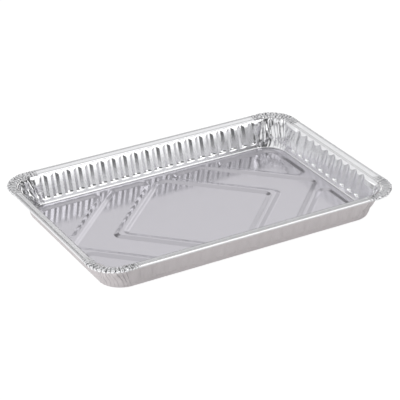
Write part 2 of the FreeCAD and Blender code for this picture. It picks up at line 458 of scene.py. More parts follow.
        # An edge's mark is the mean of its ends, so it passes this only with both ends marked.
        both_ends = 0.99
        marked = []
        for weight in self.read(tree, "crisp_column", "crisp_row").values():
            on_edge = add(tree, "GeometryNodeFieldOnDomain", {0: weight}, domain="EDGE",
                          data_type="FLOAT")
            marked.append(add(tree, "FunctionNodeCompare", {0: on_edge, 1: both_ends},
                              data_type="FLOAT", operation="GREATER_THAN"))
        either = add(tree, "FunctionNodeBooleanMath", {0: marked[0], 1: marked[1]},
                     operation="OR")
        return add(tree, "GeometryNodeSetShadeSmooth", {
            "Geometry": geometry, "Selection": either, "Shade Smooth": False}, domain="EDGE")

    @staticmethod
    def press(tree: Any, source: Any, fold_shade: Any, offset: Any) -> Any:
        """Notes how far the foil folds over itself at each point, the mask for painted shade, and
        moves the points.

        Args:
            tree: The tree to add to.
            source: Its group input node.
            fold_shade: The node that gives how far foil folds over itself, from 0 to 1, which the
                material darkens as painted shade.
            offset: The node that gives each point's offset.

        Returns:
            The node that gives the pressed geometry.
        """
        # Painted shade: the mask goes on the mesh so that the material darkens the folds.
        noted = add(tree, "GeometryNodeStoreNamedAttribute", {
            "Geometry": source.outputs["Geometry"], "Name": "fold_shade", "Value": fold_shade})
        return add(tree, "GeometryNodeSetPosition", {"Geometry": noted, "Offset": offset})

    def plain_tree(self) -> Any:
        """Tree for a piece that is already pressed and only needs crumpling.

        Returns:
            The tree.
        """
        tree = self.new_tree("Pressed Floor", {"Material": ("NodeSocketMaterial", None)})
        source = add(tree, "NodeGroupInput")
        self.finish_tree(tree, source, source)
        return tree

    def fluting_tree(self, wall: "FlutedWall") -> Any:
        """Tree that presses the valleys and the corner pleats into a plain wall.

        Args:
            wall: The wall, whose sizes become the tree's inputs.

        Returns:
            A tree that reads the wall's own measures and moves its points outwards.
        """
        tree = self.new_tree("Fluted Wall", {
            "Valley Width": ("NodeSocketFloat", wall.valley_width * MM),
            "Side Run": ("NodeSocketFloat", wall.side_run * MM),
            "Flute Depth": ("NodeSocketFloat", wall.flute_depth * MM),
            "Pleat Depth": ("NodeSocketFloat", wall.pleat_depth * MM),
            "Seed": ("NodeSocketInt", 7),
            "Material": ("NodeSocketMaterial", None),
        })
        # Where a pleat's tip lies between its feet, how deep it is, and where its painted shade
        # starts.
        tip_span = (0.22, 0.78)
        depth_span = (0.3, 1.0)
        fold_shade_start = 0.7
        source = add(tree, "NodeGroupInput")
        read = self.read(tree, "along", "pitch", "ramp", "bevel_gap", "turn", "fold_rise")
        outward = self.read(tree, "outward", kind="FLOAT_VECTOR")["outward"]
        periods = add(tree, "ShaderNodeMath", {0: read["along"], 1: read["pitch"]},
                      operation="DIVIDE")
        share = add(tree, "ShaderNodeMath", {0: periods}, operation="FRACT")
        centred = add(tree, "ShaderNodeMath", {0: share, 1: 0.5}, operation="SUBTRACT")
        apart = add(tree, "ShaderNodeMath", {0: centred}, operation="ABSOLUTE")
        distance = add(tree, "ShaderNodeMath", {0: apart, 1: read["pitch"]}, operation="MULTIPLY")
        half = add(tree, "ShaderNodeMath", {0: source.outputs["Valley Width"], 1: 0.5},
                   operation="MULTIPLY")
        edge = add(tree, "ShaderNodeMath", {0: half, 1: source.outputs["Side Run"]},
                   operation="ADD")
        profile = add(tree, "ShaderNodeMapRange", {
            "Value": distance, "From Min": edge, "From Max": half, "To Min": 0.0, "To Max": 1.0})
        valley = add(tree, "ShaderNodeMath", {0: profile, 1: read["ramp"]}, operation="MULTIPLY")
        flute = add(tree, "ShaderNodeMath", {0: valley, 1: source.outputs["Flute Depth"]},
                    operation="MULTIPLY")
        cell = add(tree, "ShaderNodeMath", {0: read["turn"]}, operation="FLOOR")
        chances = add(tree, "ShaderNodeTexWhiteNoise", {
            "Vector": cell, "W": source.outputs["Seed"]}, noise_dimensions="4D")
        tip = add(tree, "ShaderNodeMapRange", {
            "Value": chances.outputs["Value"], "To Min": tip_span[0], "To Max": tip_span[1]})
        place = add(tree, "ShaderNodeMath", {0: read["turn"]}, operation="FRACT")
        before = add(tree, "ShaderNodeMath", {0: place, 1: tip}, operation="DIVIDE")
        rest = add(tree, "ShaderNodeMath", {0: 1.0, 1: place}, operation="SUBTRACT")
        far = add(tree, "ShaderNodeMath", {0: 1.0, 1: tip}, operation="SUBTRACT")
        after = add(tree, "ShaderNodeMath", {0: rest, 1: far}, operation="DIVIDE")
        fold = add(tree, "ShaderNodeMath", {0: before, 1: after}, operation="MINIMUM")
        depth = add(tree, "ShaderNodeMapRange", {
            "Value": chances.outputs["Color"], "To Min": depth_span[0],
            "To Max": depth_span[1]})
        raised = add(tree, "ShaderNodeMath", {0: fold, 1: read["fold_rise"]}, operation="MULTIPLY")
        uneven = add(tree, "ShaderNodeMath", {0: raised, 1: depth}, operation="MULTIPLY")
        pleat = add(tree, "ShaderNodeMath", {0: uneven, 1: source.outputs["Pleat Depth"]},
                    operation="MULTIPLY")
        pressed = add(tree, "ShaderNodeMath", {0: flute, 1: pleat}, operation="ADD")
        reach = add(tree, "ShaderNodeMath", {0: pressed, 1: read["bevel_gap"]},
                    operation="MAXIMUM")
        offset = add(tree, "ShaderNodeVectorMath", {0: outward, "Scale": reach}, operation="SCALE")
        # Painted shade: the upper part of each pleat's tip is marked for the material to darken.
        at_tip = add(tree, "ShaderNodeMapRange", {"Value": fold, "From Min": fold_shade_start})
        fold_shade = add(tree, "ShaderNodeMath", {0: at_tip, 1: read["fold_rise"]},
                     operation="MULTIPLY")
        self.finish_tree(tree, source, self.press(tree, source, fold_shade, offset))
        return tree

    def rim_tree(self, rim: "RolledRim") -> Any:
        """Tree that presses hatching into the flange and crimps the corners' gathered foil.

        Args:
            rim: The rim, whose sizes become the tree's inputs.

        Returns:
            A tree that reads the rim's own measures and moves its points along their normals.
        """
        tree = self.new_tree("Hatched Rim", {
            "Hatch Pitch": ("NodeSocketFloat", rim.hatch_pitch * MM),
            "Hatch Depth": ("NodeSocketFloat", rim.hatch_depth * MM),
            "Hatch Slant": ("NodeSocketFloat", rim.hatch_slant),
            "Crimp Pitch": ("NodeSocketFloat", rim.crimp_pitch * MM),
            "Crimp Depth": ("NodeSocketFloat", rim.crimp_depth * MM),
            "Crimp Jitter": ("NodeSocketFloat", rim.crimp_jitter),
            "Material": ("NodeSocketMaterial", None),
        })
        # A zigzag of heights from 0 to 0.5 becomes one from -1 to 1; its lowest part gets painted
        # shade.
        zigzag_middle = 0.25
        zigzag_gain = 4.0
        fold_shade_span = (-0.3, -0.9)
        jitter_per_metre = 260.0
        source = add(tree, "NodeGroupInput")
        read = self.read(tree, "along", "across", "flange", "gather")
        normal = add(tree, "GeometryNodeInputNormal")
        slanted = add(tree, "ShaderNodeMath", {
            0: read["across"], 1: source.outputs["Hatch Slant"], 2: read["along"],
        }, operation="MULTIPLY_ADD")
        periods = add(tree, "ShaderNodeMath", {0: slanted, 1: source.outputs["Hatch Pitch"]},
                      operation="DIVIDE")
        turns = add(tree, "ShaderNodeMath", {0: periods, 1: math.tau}, operation="MULTIPLY")
        wave = add(tree, "ShaderNodeMath", {0: turns}, operation="SINE")
        height = add(tree, "ShaderNodeMath", {
            0: source.outputs["Hatch Depth"], 1: read["flange"]}, operation="MULTIPLY")
        hatch = add(tree, "ShaderNodeMath", {0: wave, 1: height}, operation="MULTIPLY")
        noise = add(tree, "ShaderNodeTexNoise", {"Scale": jitter_per_metre, "Detail": 1.0})
        jitter = add(tree, "ShaderNodeMath", {
            0: noise, 1: source.outputs["Crimp Jitter"]}, operation="MULTIPLY")
        folds = add(tree, "ShaderNodeMath", {
            0: read["along"], 1: source.outputs["Crimp Pitch"]}, operation="DIVIDE")
        uneven = add(tree, "ShaderNodeMath", {0: folds, 1: jitter}, operation="ADD")
        zigzag = add(tree, "ShaderNodeMath", {0: uneven, 1: 0.5}, operation="PINGPONG")
        centred = add(tree, "ShaderNodeMath", {0: zigzag, 1: zigzag_middle},
                      operation="SUBTRACT")
        whole = add(tree, "ShaderNodeMath", {0: centred, 1: zigzag_gain}, operation="MULTIPLY")
        depth = add(tree, "ShaderNodeMath", {
            0: source.outputs["Crimp Depth"], 1: read["gather"]}, operation="MULTIPLY")
        lift = add(tree, "ShaderNodeMath", {0: whole, 1: depth, 2: hatch},
                   operation="MULTIPLY_ADD")
        offset = add(tree, "ShaderNodeVectorMath", {0: normal, "Scale": lift}, operation="SCALE")
        # Painted shade: the crimps' lowest parts in gathered corners are marked for the material
        # to darken.
        between = add(tree, "ShaderNodeMapRange", {
            "Value": whole, "From Min": fold_shade_span[0], "From Max": fold_shade_span[1]})
        fold_shade = add(tree, "ShaderNodeMath", {0: between, 1: read["gather"]},
                     operation="MULTIPLY")
        self.finish_tree(tree, source, self.press(tree, source, fold_shade, offset), rim.crumpling)
        return tree


@dataclass
class FoilPiece:
    """One formed piece of the tray's single sheet."""

    sheet: Sheet
    inside: bpy.types.Material
    outside: bpy.types.Material
    loose_height: float = 12.0
    least_loose: float = 0.25

    def make(
        self, name: str, points: Points, faces: list, tree: Any, attributes: dict[str, Points]
    ) -> bpy.types.Object:
        """Args:
            name: The piece's name.
            points: Positions of the upper face in millimetres.
            faces: Corner numbers of each face, anticlockwise from above.
            tree: The geometry tree that forms the piece.
            attributes: Values for each point that the tree reads.

        Returns:
            The finished object.
        """
        mesh = bpy.data.meshes.new(name)
        mesh.from_pydata((points * MM).tolist(), [], faces)
        # The foil is stiff by the floor and wanders more the higher it stands.
        height = points[:, 2] - self.sheet.floor_level
        values = dict(attributes)
        values["gather"] = gather_weight(points, self.sheet)
        values["loose"] = np.clip(height / self.loose_height, self.least_loose, 1.0)
        for label, array in values.items():
            vector = array.ndim == 2
            layer = mesh.attributes.new(label, "FLOAT_VECTOR" if vector else "FLOAT", "POINT")
            layer.data.foreach_set("vector" if vector else "value",
                                   array.astype(np.float32).ravel())
        piece = bpy.data.objects.new(name, mesh)
        bpy.context.scene.collection.objects.link(piece)
        self.form(piece, tree)
        self.trim(piece, self.sheet.thickness)
        self.thicken(piece)
        self.trim(piece, 0.0)
        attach(piece, "root")
        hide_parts("foil_tray")
        LOG.info("%s: %d points, %d faces", name, len(piece.data.vertices),
                 len(piece.data.polygons))
        return piece

    def form(self, piece: bpy.types.Object, tree: Any) -> None:
        """Runs a geometry tree on a piece and keeps the result as its plain mesh.

        Args:
            piece: The piece to form.
            tree: The geometry tree.
        """
        modifier = piece.modifiers.new("forming", "NODES")
        modifier.node_group = tree
        for item in tree.interface.items_tree:
            if item.in_out == "INPUT" and item.name == "Material":
                modifier[item.identifier] = self.inside
        self.bake(piece)

    @staticmethod
    def bake(piece: bpy.types.Object) -> None:
        """Turns a piece and its modifiers into a plain mesh.

        Args:
            piece: The piece to turn.
        """
        graph = bpy.context.evaluated_depsgraph_get()
        graph.update()
        formed = bpy.data.meshes.new_from_object(piece.evaluated_get(graph))
        piece.modifiers.clear()
        piece.data = formed

    def trim(self, piece: bpy.types.Object, lowest: float) -> None:
        """Keeps crumpled points inside the tray's overall size.

        Args:
            piece: The piece to trim.
            lowest: Level in millimetres under which no point may lie.
        """
        count = len(piece.data.vertices)
        places = np.empty(count * 3, dtype=np.float32)
        piece.data.vertices.foreach_get("co", places)
        places = places.reshape(-1, 3)
        sheet = self.sheet
        low = np.array([-sheet.length / 2, -sheet.width / 2, lowest]) * MM
        high = np.array([sheet.length / 2, sheet.width / 2, sheet.height]) * MM
        piece.data.vertices.foreach_set("co", np.clip(places, low, high).ravel())
        piece.data.update()

    def thicken(self, piece: bpy.types.Object) -> None:
        """Gives the sheet its thickness, with its second material underneath.

        Args:
            piece: The piece, one skin so far.
        """
        piece.data.materials.clear()
        piece.data.materials.append(self.inside)
        piece.data.materials.append(self.outside)
        solid = piece.modifiers.new("thickness", "SOLIDIFY")
        solid.thickness = self.sheet.thickness * MM
        solid.offset = -1.0
        solid.material_offset = 1
        solid.material_offset_rim = 1
        self.bake(piece)


@dataclass(frozen=True)
class Column:
    """One upright column of the wall's points.

    `along` is its distance from the side's middle and `turn` its share of the corner's quarter
    turn, or None on a straight side. `valley` says how far it lies in a valley, from 0 to 1,
    and `crisp` is 1 where the fold along it stays sharp.
    """

    side: Side
    pitch: float
    along: float
    turn: float | None
    valley: float
    crisp: float


def ring_faces(rows: int, columns: int) -> list[tuple[int, int, int, int]]:
    """Faces of a closed band of rows that run all round, anticlockwise from inside.

    Args:
        rows: Number of rows.
        columns: Number of points in a row.

    Returns:
        Corner numbers of each face.
    """
    faces = []
    for row in range(rows - 1):
        for column in range(columns):
            following = (column + 1) % columns
            low, high = row * columns, (row + 1) * columns
            faces.append((low + following, low + column, high + column, high + following))
    return faces


@dataclass
class FlutedWall(FoilPiece):
    """The flaring wall with its crease, plain band, flutes, bevel and gathered corners."""

    long_pitch: float = 12.55
    short_pitch: float = 12.85
    valley_width: float = 2.4
    side_run: float = 3.25
    plain_band: float = 4.2
    ramp_height: float = 1.2
    flute_depth: float = 1.0
    pleat_depth: float = 1.3
    pleats: int = 9
    steps_in_pleat: int = 8
    fold_height: float = 14.0
    crease_reaches: tuple[float, ...] = (-0.6, -0.22, 0.02)
    low_rows: tuple[float, ...] = (0.0, 0.1, 0.32, 0.7, 1.8, 3.0)
    ramp_rows: tuple[float, ...] = (0.0, 0.4, 0.8)
    body_rows: int = 24
    bevel_rows: tuple[float, ...] = (0.12, 0.3, 0.5, 0.72, 0.9, 1.0)
    bevel_zone: float = 6.0
    corner_gap: float = 0.15

    def rows(self) -> list[tuple[float, float]]:
        """Rows from the crease to the bend: share of the body's height and of the bevel's.

        Returns:
            Pairs of a share from the crease to the bevel's foot, and one from there to the bend.
        """
        body = self.sheet.bevel_level - self.sheet.floor_level
        start = self.plain_band + self.ramp_height
        low = [*self.low_rows, *(self.plain_band + height for height in self.ramp_rows), start]
        low += [start + (body - start) * step / self.body_rows
                for step in range(1, self.body_rows + 1)]
        rows = [(height / body, 0.0) for height in low]
        return rows + [(1.0, share) for share in self.bevel_rows]

    def level(self, row: tuple[float, float], valley: float) -> float:
        """Level of a row in a column; the bevel's foot stands higher over a valley.

        Args:
            row: The row's two shares, as rows() gives them.
            valley: How far the column is pressed into a valley, from 0 to 1.

        Returns:
            The level in millimetres.
        """
        sheet = self.sheet
        climb = sheet.leaning_bevel_run / sheet.bevel_height - sheet.crest_slope
        foot = sheet.bevel_level + self.flute_depth * valley / climb
        body_share, bevel_share = row
        start = sheet.floor_level + self.plain_band + self.ramp_height
        plain = sheet.floor_level + body_share * (sheet.bevel_level - sheet.floor_level)
        if plain <= start:
            return plain
        raised = start + (plain - start) * (foot - start) / (sheet.bevel_level - start)
        return raised + (sheet.bend_level - raised) * bevel_share

    def side_columns(self, half: float, pitch: float) -> list[tuple[float, float, float]]:
        """Columns along one straight side.

        Args:
            half: Half length of the side.
            pitch: Distance from one valley to the next.

        Returns:
            Each column's place, its valley share, and 1 where the fold along it is sharp.
        """
        # The last pair of flutes is pressed where more than 0.4 of its pitch fits.
        round_up = 0.6
        valley = self.valley_width / 2
        foot = valley + self.side_run
        marks = [(0.0, 1.0, 0.0), (valley, 1.0, 1.0), (valley + self.side_run / 2, 0.5, 0.0),
                 (foot, 0.0, 1.0)]
        pairs = int((half - foot) / pitch + round_up)
        columns = {}
        for number in range(-pairs, pairs):
            centre = (number + 0.5) * pitch
            for mark, pressed, crisp in marks:
                for side in (-1, 1):
                    columns[round(centre + side * mark, 4)] = (pressed, crisp)
            columns[round(centre - pitch / 2, 4)] = (0.0, 0.0)
        return [(place, *columns[place]) for place in sorted(columns)
                if abs(place) < half - self.corner_gap and abs(place) <= pairs * pitch + foot]

    @staticmethod
    def squeezed(place: float, straight: float) -> float:
        """Moves the last columns of a side together so that they end before the corner.

        Args:
            place: Distance of a column from the side's middle.
            straight: Half length of the side's straight part in this row.

        Returns:
            The column's distance from the middle in this row.
        """
        loose_end = 4.0
        squeeze = 0.6
        start = straight - loose_end
        beyond = abs(place) - start
        if beyond <= 0.0:
            return place
        return math.copysign(start + beyond * squeeze, place)

    def build(self, forming: FoilForming) -> tuple[bpy.types.Object, Points]:
        """Builds the wall.

        Args:
            forming: The geometry trees.

        Returns:
            The wall, and the points of its lowest row, which edge the floor.
        """
        sheet = self.sheet
        foot_level = sheet.floor_level + self.plain_band
        columns = self.columns(foot_level)
        rows = self.rows()
        grid = []
        names = ("along", "pitch", "ramp", "bevel_gap", "turn", "fold_rise", "crisp_column",
                 "crisp_row")
        values: dict[str, list] = {name: [] for name in names}
        outward = []
        for number, row in enumerate(rows):
            for column in columns:
                level = self.level(row, column.valley)
                reach = sheet.crest_reach(level)
                if number < len(self.crease_reaches):
                    reach = self.crease_reaches[number] - sheet.crease_inset
                local, facing = self.spot(column, level, reach)
                spot = column.side.spin @ local
                away = column.side.spin @ facing
                grid.append((spot.x, spot.y, level))
                outward.append((away.x, away.y, 0.0))
                ramp = min(max((level - foot_level) / self.ramp_height, 0.0), 1.0)
                gap = sheet.bevel_reach(level) - sheet.crest_reach(level)
                rise = min(max((level - sheet.floor_level) / self.fold_height, 0.0), 1.0)
                in_side = column.turn is None
                above = level >= foot_level
                near_bevel = level > sheet.bevel_level - self.bevel_zone
                values["along"].append(column.along * MM if in_side else 0.0)
                values["pitch"].append(column.pitch * MM)
                values["ramp"].append(ramp if in_side else 0.0)
                values["bevel_gap"].append(gap * MM if near_bevel else -1.0)
                values["turn"].append(0.0 if in_side else self.fold_place(column, level))
                values["fold_rise"].append(0.0 if in_side else rise ** 0.5)
                values["crisp_column"].append(column.crisp if above else 0.0)
                values["crisp_row"].append(1.0 if row == (1.0, 0.0) and in_side else 0.0)
        points = np.array(grid)
        faces = ring_faces(len(rows), len(columns))
        attributes = {name: np.array(value) for name, value in values.items()}
        attributes["outward"] = np.array(outward)
        tree = forming.fluting_tree(self)
        return self.make("fluted_wall", points, faces, tree, attributes), points[:len(columns)]

    def spot(self, column: Column, level: float, reach: float) -> tuple[Vector, Vector]:
        """Place of a point seen from its own side, and the way outwards there.

        Args:
            column: The point's column.
            level: Its level.
            reach: How far the wall stands outside the crease there.

        Returns:
            The place and the outward direction in the plane, with the side at +X.
        """
        sheet = self.sheet
        half_x, half_y = sheet.base_half
        half_out, half_along = (half_x, half_y) if column.side.upright else (half_y, half_x)
        half_out += reach
        half_along += reach
        radius = sheet.corner_radius(level)
        straight = half_along - radius
        if column.turn is None:
            return Vector((half_out, self.squeezed(column.along, straight))), Vector((1.0, 0.0))
        angle = column.turn * math.pi / 2
        facing = Vector((math.cos(angle), math.sin(angle)))
        return Vector((half_out - radius, straight)) + facing * radius, facing

    def fold_place(self, column: Column, level: float) -> float:
        """Place among a corner's folds, which lean and wind as they rise.

        Args:
            column: The point's column.
            level: Its level.

        Returns:
            The number of folds to that point, from a start of its own for each corner.
        """
        sway_size = 0.55
        winding = 0.17
        next_phase = 2.0
        next_start = 40
        first_start = 2.0
        corner = column.side.value
        share = column.turn or 0.0
        wave = math.sin(level * winding + next_phase * corner)
        sway = sway_size * wave * math.sin(math.pi * share)
        return share * self.pleats + sway + corner * next_start + first_start

    def columns(self, level: float) -> list[Column]:
        """Columns all round, placed where the flutes start.

        Args:
            level: The level at which they are placed.

        Returns:
            The columns, anticlockwise from the +X side.
        """
        last_turn = 0.99999
        sheet = self.sheet
        radius = sheet.corner_radius(level)
        reach = sheet.crest_reach(level)
        columns = []
        for side in Side:
            half = sheet.base_half[1 if side.upright else 0] + reach - radius
            pitch = self.short_pitch if side.upright else self.long_pitch
            for place, pressed, crisp in self.side_columns(half, pitch):
                columns.append(Column(side, pitch, place, None, pressed, crisp))
            turns = self.pleats * self.steps_in_pleat
            for step in range(turns + 1):
                columns.append(Column(side, pitch, 0.0, min(step / turns, last_turn), 0.0, 0.0))
        return columns


@dataclass
class RolledRim(FoilPiece):
    """The flange and the rolled bead that stiffen the tray's edge.

    Real hatching and crimps are about 1 mm and 2 mm apart. Both are drawn coarser, because in
    a picture of the whole tray finer ones melt into an even grey.
    """

    spacing: float = 0.66
    corner_spacing: float = 0.42
    hatch_pitch: float = 1.7
    hatch_depth: float = 0.14
    hatch_slant: float = 0.8
    crimp_pitch: float = 3.0
    crimp_depth: float = 0.42
    crimp_jitter: float = 1.3
    crumpling: Crumpling = Crumpling(
        gather_height=0.12, gather_size=2.0, crease_height=0.6, crease_size=2.2)

    def build(self, forming: FoilForming) -> bpy.types.Object:
        """Builds the rim by carrying its section round the bend line.

        Args:
            forming: The geometry trees.

        Returns:
            The rim.
        """
        sheet = self.sheet
        section = sheet.rim_section()
        half_x, half_y = sheet.bend_half
        radius = sheet.bend_corner_radius
        path = []
        for side in Side:
            half_out, half_along = (half_x, half_y) if side.upright else (half_y, half_x)
            straight = half_along - radius
            count = int(2 * straight / self.spacing)
            for step in range(count):
                place = -straight + 2 * straight * step / count
                path.append((side.spin @ Vector((half_out, place)), side.spin @ Vector((1, 0))))
            turns = int(math.pi / 2 * sheet.rim_corner_radius / self.corner_spacing)
            for step in range(turns):
                angle = math.pi / 2 * step / turns
                facing = Vector((math.cos(angle), math.sin(angle)))
                spot = Vector((half_out - radius, straight)) + facing * radius
                path.append((side.spin @ spot, side.spin @ facing))
        lengths = [0.0]
        for (before, _), (after, _) in zip(path[:-1], path[1:]):
            lengths.append(lengths[-1] + (after - before).length)
        points, along, across, flange = [], [], [], []
        for reach, rise, travelled, weight in section:
            out = reach + sheet.bevel_skin / 2
            for (spot, facing), distance in zip(path, lengths):
                place = spot + facing * out
                points.append((place.x, place.y, sheet.bend_level + rise))
                along.append(distance * MM)
                across.append(travelled * MM)
                flange.append(weight)
        faces = ring_faces(len(section), len(path))
        attributes = {
            "along": np.array(along), "across": np.array(across), "flange": np.array(flange)}
        tree = forming.rim_tree(self)
        return self.make("rolled_rim", np.array(points), faces, tree, attributes)


@dataclass
class EmbossedFloor(FoilPiece):
    """The floor: raised ribs round seven sunken panels with sloping sides."""

    border: float = 7.0
    hexagon_border: float = 15.0
    rib_flat: float = 3.0
    slope_run: float = 4.7
    corner_leg: float = 82.0
    chevron_width: float = 35.2
    soft: float = 4.0
    notch: float = 9.0
    slope_round: float = 0.5
    grain: float = 2.3
    loop_spacing: float = 1.7
    cell: float = 1.1
    edge_gap: float = 1.2
    rounding: tuple[float, ...] = (-0.8, -0.25, 0.4, 2.35, 4.3, 4.95, 5.5)

    def outlines(self) -> list[list[tuple[float, float, float]]]:
        """Outlines of the seven panels' bottoms.

        Returns:
            For each panel its corner points with their radii, anticlockwise.
        """
        base_x, base_y = self.sheet.base_half
        diagonal = math.sqrt(2.0)
        edge_x = base_x - self.border - self.slope_run
        edge_y = base_y - self.border - self.slope_run
        slope = self.slope_run * diagonal
        rib = self.rib_flat * diagonal
        triangle_line = base_x + base_y - 2 * self.border - self.corner_leg
        outside = triangle_line - rib - slope
        inside = outside + 2 * slope - self.chevron_width * diagonal
        hexagon_line = inside - rib - 2 * slope
        hexagon_y = base_y - self.hexagon_border - self.slope_run
        corner = self.sheet.base_corner_radius - self.border - self.slope_run
        soft = self.soft
        foot = triangle_line + slope
        triangle = [(edge_x, edge_y, corner), (foot - edge_y, edge_y, soft),
                    (edge_x, foot - edge_x, soft)]
        blunt = outside - edge_x
        tip = [(outside, 0.0, soft)]
        if blunt > 0.0:
            tip = [(edge_x, -blunt, soft), (edge_x, blunt, soft)]
        chevron = [(inside - edge_y, -edge_y, soft), (outside - edge_y, -edge_y, soft), *tip,
                   (outside - edge_y, edge_y, soft), (inside - edge_y, edge_y, soft),
                   (inside, 0.0, self.notch)]
        half = [(hexagon_line, 0.0, soft), (hexagon_line - hexagon_y, hexagon_y, soft),
                (hexagon_y - hexagon_line, hexagon_y, soft)]
        hexagon = [*half, *[(-x, -y, round_off) for x, y, round_off in half]]
        panels = [hexagon]
        for turn in (1, -1):
            panels.append([(turn * x, turn * y, size) for x, y, size in chevron])
            panels.append([(turn * x, turn * y, size) for x, y, size in triangle])
            panels.append([(-turn * x, turn * y, size) for x, y, size in reversed(triangle)])
        return panels

    def loop(self, corners: list[tuple[float, float, float]], grow: float, step: float) -> Points:
        """Points of a rounded outline grown outwards.

        Args:
            corners: Corner points with their radii, anticlockwise.
            grow: Distance by which the outline grows.
            step: Spacing of the points.

        Returns:
            Points in the plane.
        """
        # Arcs take shorter steps than straights.
        arc_share = 0.6
        points: list[Vector] = []
        count = len(corners)
        ends = []
        for number, (x, y, radius) in enumerate(corners):
            spot = Vector((x, y))
            back = (Vector(corners[number - 1][:2]) - spot).normalized()
            ahead = (Vector(corners[(number + 1) % count][:2]) - spot).normalized()
            half = back.angle(ahead) / 2
            hollow = ahead.x * back.y - ahead.y * back.x < 0
            grown = radius - grow if hollow else radius + grow
            inward = (back + ahead).normalized()
            centre = spot + inward * (radius / math.sin(half))
            start = spot + back * (radius / math.tan(half))
            sweep = (math.pi - 2 * half) * (-1 if hollow else 1)
            pieces = max(2, round(abs(sweep) * grown / (step * arc_share)))
            arm = (start - centre) * (grown / radius)
            ends.append([centre + Matrix.Rotation(sweep * k / pieces, 2) @ arm
                         for k in range(pieces + 1)])
        for number, arc in enumerate(ends):
            following = ends[(number + 1) % count][0]
            points.extend(arc)
            gap = (following - arc[-1]).length
            pieces = max(1, round(gap / step))
            points.extend(arc[-1].lerp(following, k / pieces) for k in range(1, pieces))
        return np.array([(point.x, point.y) for point in points])

    @staticmethod
    def signed_distance(points: Points, outline: Points) -> Points:
        """Distance of points from a closed outline.

        Args:
            points: Points in the plane.
            outline: The outline's own points in order.

        Returns:
            One distance for each point, negative inside the outline.
        """
        run = np.roll(outline, -1, axis=0) - outline
        nearest = np.full(len(points), np.inf)
        inside = np.zeros(len(points), dtype=bool)
        for (x0, y0), (dx, dy) in zip(outline, run):
            rel_x = points[:, 0] - x0
            rel_y = points[:, 1] - y0
            share = np.clip((rel_x * dx + rel_y * dy) / (dx * dx + dy * dy), 0.0, 1.0)
            nearest = np.minimum(nearest, np.hypot(rel_x - share * dx, rel_y - share * dy))
            if dy != 0.0:
                crosses = (rel_y >= 0.0) != (rel_y >= dy)
                inside ^= crosses & (rel_x < rel_y * dx / dy)
        return np.where(inside, -nearest, nearest)

    def depth(self, points: Points, panels: list) -> Points:
        """How deep the floor is sunk at each point.

        Args:
            points: Points in the plane.
            panels: The panels' outlines.

        Returns:
            One depth in millimetres for each point.
        """
        spacing = 1.2
        margin = 1.5
        sunk = np.zeros(len(points))
        reach = self.slope_run
        for corners in panels:
            outline = self.loop(corners, 0.0, spacing)
            low = outline.min(axis=0) - reach - margin
            high = outline.max(axis=0) + reach + margin
            near = np.all((points > low) & (points < high), axis=1)
            distance = self.signed_distance(points[near], outline)
            share = np.clip(1.0 - distance / reach, 0.0, 1.0)
            soft = self.slope_round / reach
            lower = np.clip((share - 1.0 + soft) / (2 * soft), 0.0, 1.0)
            upper = np.clip((soft - share) / (2 * soft), 0.0, 1.0)
            eased = share - soft * lower ** 2 * 0.5 + soft * upper ** 2 * 0.5 * (share > 0)
            sunk[near] = np.maximum(sunk[near], eased * self.sheet.emboss_depth)
        return sunk

    def build(self, forming: FoilForming, edge: Points) -> bpy.types.Object:
        """Builds the floor inside the wall's lowest row.

        Args:
            forming: The geometry trees.
            edge: Points of the wall's lowest row, anticlockwise.

        Returns:
            The floor.
        """
        # Grid points keep clear of the edge, measured along every third of its points.
        sparse = 3
        merged_within = 1e-5
        panels = self.outlines()
        loops = [edge[:, :2]]
        for corners in panels:
            loops.extend(self.loop(corners, grow, self.loop_spacing) for grow in self.rounding)
        step = self.grain
        half_x, half_y = np.abs(edge[:, :2]).max(axis=0)
        xs = np.arange(-half_x, half_x, step)
        ys = np.arange(-half_y, half_y, step * math.sqrt(3) / 2)
        fill = np.array([(x + step / 2 * (row % 2), y) for row, y in enumerate(ys) for x in xs])
        keep = self.signed_distance(fill, edge[:, :2][::sparse]) < -self.edge_gap
        fill = fill[keep]
        taken = np.concatenate(loops)
        cells = {tuple(cell) for cell in np.floor(taken / self.cell).astype(int)}
        free = [
            point for point in fill
            if not any((int(point[0] // self.cell) + dx, int(point[1] // self.cell) + dy)
                       in cells for dx in (-1, 0, 1) for dy in (-1, 0, 1))
        ]
        flat: list[Vector] = []
        edges = []
        for outline in loops:
            first = len(flat)
            flat.extend(Vector(point) for point in outline.tolist())
            size = len(outline)
            edges.extend((first + k, first + (k + 1) % size) for k in range(size))
        flat.extend(Vector(point) for point in np.array(free).tolist())
        result = delaunay_2d_cdt(flat, edges, [list(range(len(edge)))], 1, merged_within)
        plane = np.array([(spot.x, spot.y) for spot in result[0]])
        level = self.sheet.floor_level - self.depth(plane, panels)
        points = np.column_stack([plane, level])
        faces = [tuple(face) for face in result[2]]
        return self.make("embossed_floor", points, faces, forming.plain_tree(), {})


